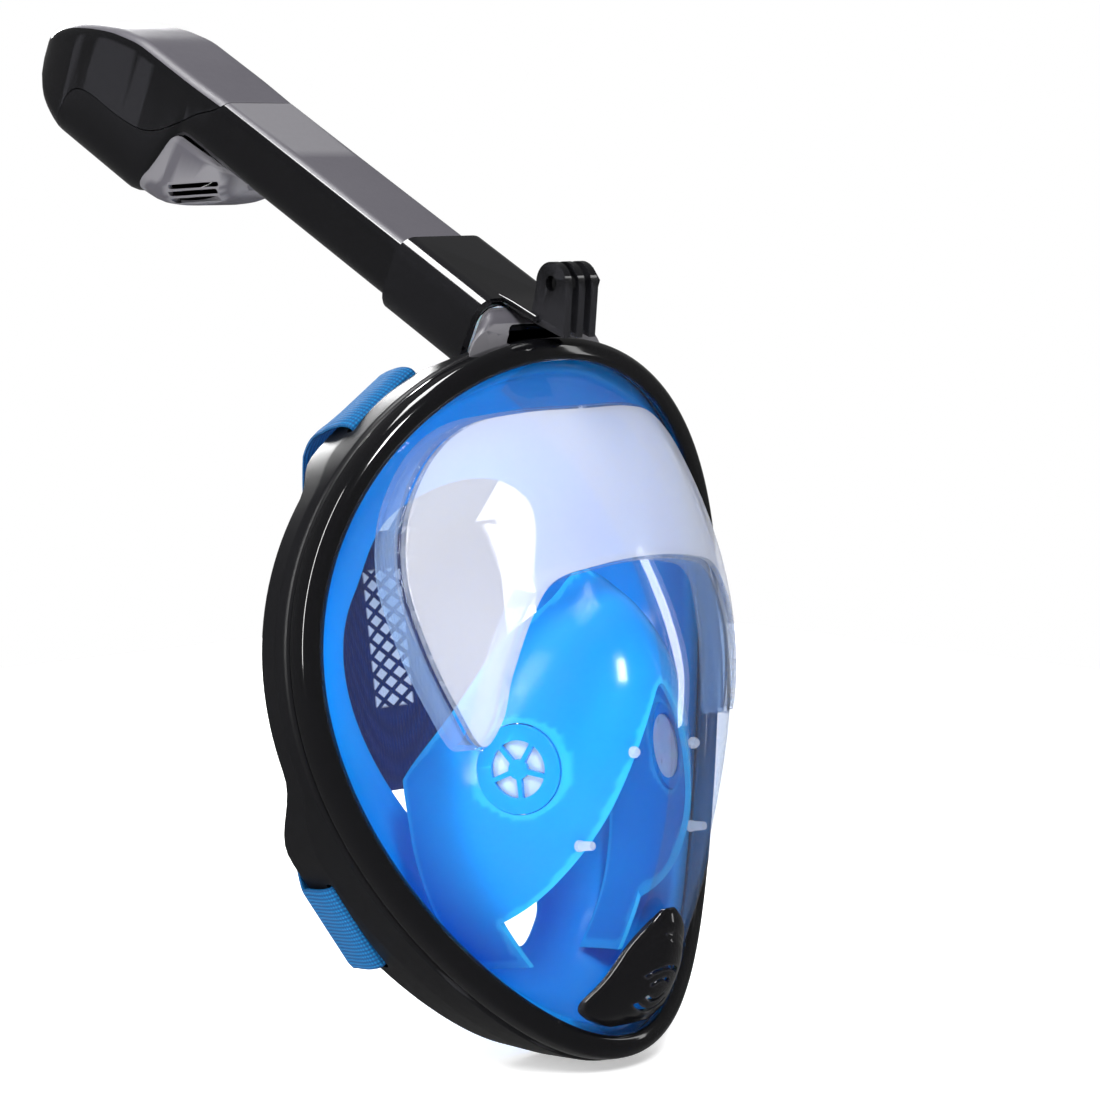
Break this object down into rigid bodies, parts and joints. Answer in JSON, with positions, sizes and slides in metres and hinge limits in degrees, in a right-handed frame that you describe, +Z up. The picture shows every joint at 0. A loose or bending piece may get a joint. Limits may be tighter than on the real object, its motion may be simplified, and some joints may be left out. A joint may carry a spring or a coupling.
{
  "type": "full face snorkel",
  "caption": "Full face snorkel mask with a clear wrap-round lens, blue silicone skirt, pull-out dry-top tube, chin purge valve, clip-on camera mount and elastic head straps.",
  "frame": {"origin": "middle of the face opening, on the plane where the silicone skirt meets the face", "axes": "+Z up as worn, +Y from the lens towards the back of the head, +X to the wearer's left"},
  "size_m": [0.2036, 0.3466, 0.3687],
  "materials": {
    "clear_lens": "clear polycarbonate, glossy",
    "gloss_black": "glossy black",
    "satin_black": "satin black",
    "satin_grey": "satin dark grey",
    "blue_silicone": "translucent blue silicone, satin",
    "valve_rubber": "pale translucent silicone",
    "clear_pin": "clear, glossy",
    "float_foam": "closed-cell foam, matt",
    "blue_webbing": "woven elastic"
  },
  "bodies": {
    "mask": {"lens": "clear_lens", "front_rim": "gloss_black", "rear_frame": "satin_black", "tube_socket": "satin_grey", "face_skirt": "blue_silicone", "eye_seal": "blue_silicone", "breathing_pocket": "blue_silicone", "pocket_valve_seat_left": "blue_silicone", "pocket_pin_upper_left": "clear_pin", "pocket_pin_lower_left": "clear_pin", "pocket_valve_seat_right": "blue_silicone", "pocket_pin_upper_right": "clear_pin", "pocket_pin_lower_right": "clear_pin", "purge_valve_seat": "satin_black", "purge_cover": "gloss_black", "neck_gasket": "valve_rubber", "upper_strap_left": "blue_webbing", "upper_strap_right": "blue_webbing", "lower_strap_left": "blue_webbing", "lower_strap_right": "blue_webbing", "back_pad": "blue_webbing"},
    "snorkel": {"snorkel_tube": "gloss_black", "tube_divider": "satin_black", "dry_top_cap": "satin_grey", "intake_grille": "satin_grey", "valve_plate": "satin_black"},
    "camera_mount": {"camera_clip": "satin_black"},
    "float_valve": {"float": "float_foam", "float_seal": "blue_silicone"},
    "purge_flap": {"purge_membrane": "valve_rubber"},
    "pocket_flap_left": {"pocket_valve_flap_left": "valve_rubber"},
    "pocket_flap_right": {"pocket_valve_flap_right": "valve_rubber"}
  },
  "joints": [
    {"name": "tube_pull_out", "type": "slide", "parent": "mask", "child": "snorkel", "axis": [0, 0.8949, 0.4462], "range_m": [0, 0.03]},
    {"name": "camera_clip_slide", "type": "slide", "parent": "snorkel", "child": "camera_mount", "axis": [0, 0.8949, 0.4462], "range_m": [0, 0.03]},
    {"name": "float_rise", "type": "slide", "parent": "snorkel", "child": "float_valve", "axis": [0, 0.8949, 0.4462], "range_m": [0, 0.0104]},
    {"name": "purge_flap_lift", "type": "slide", "parent": "mask", "child": "purge_flap", "axis": [0, -0.9132, -0.4076], "range_m": [0, 0.0015], "stiffness_N_per_m": 60},
    {"name": "pocket_flap_left_lift", "type": "slide", "parent": "mask", "child": "pocket_flap_left", "axis": [-0.9055, 0.4197, -0.0627], "range_m": [0, 0.0012], "stiffness_N_per_m": 60},
    {"name": "pocket_flap_right_lift", "type": "slide", "parent": "mask", "child": "pocket_flap_right", "axis": [0.9055, 0.4197, -0.0627], "range_m": [0, 0.0012], "stiffness_N_per_m": 60}
  ]
}
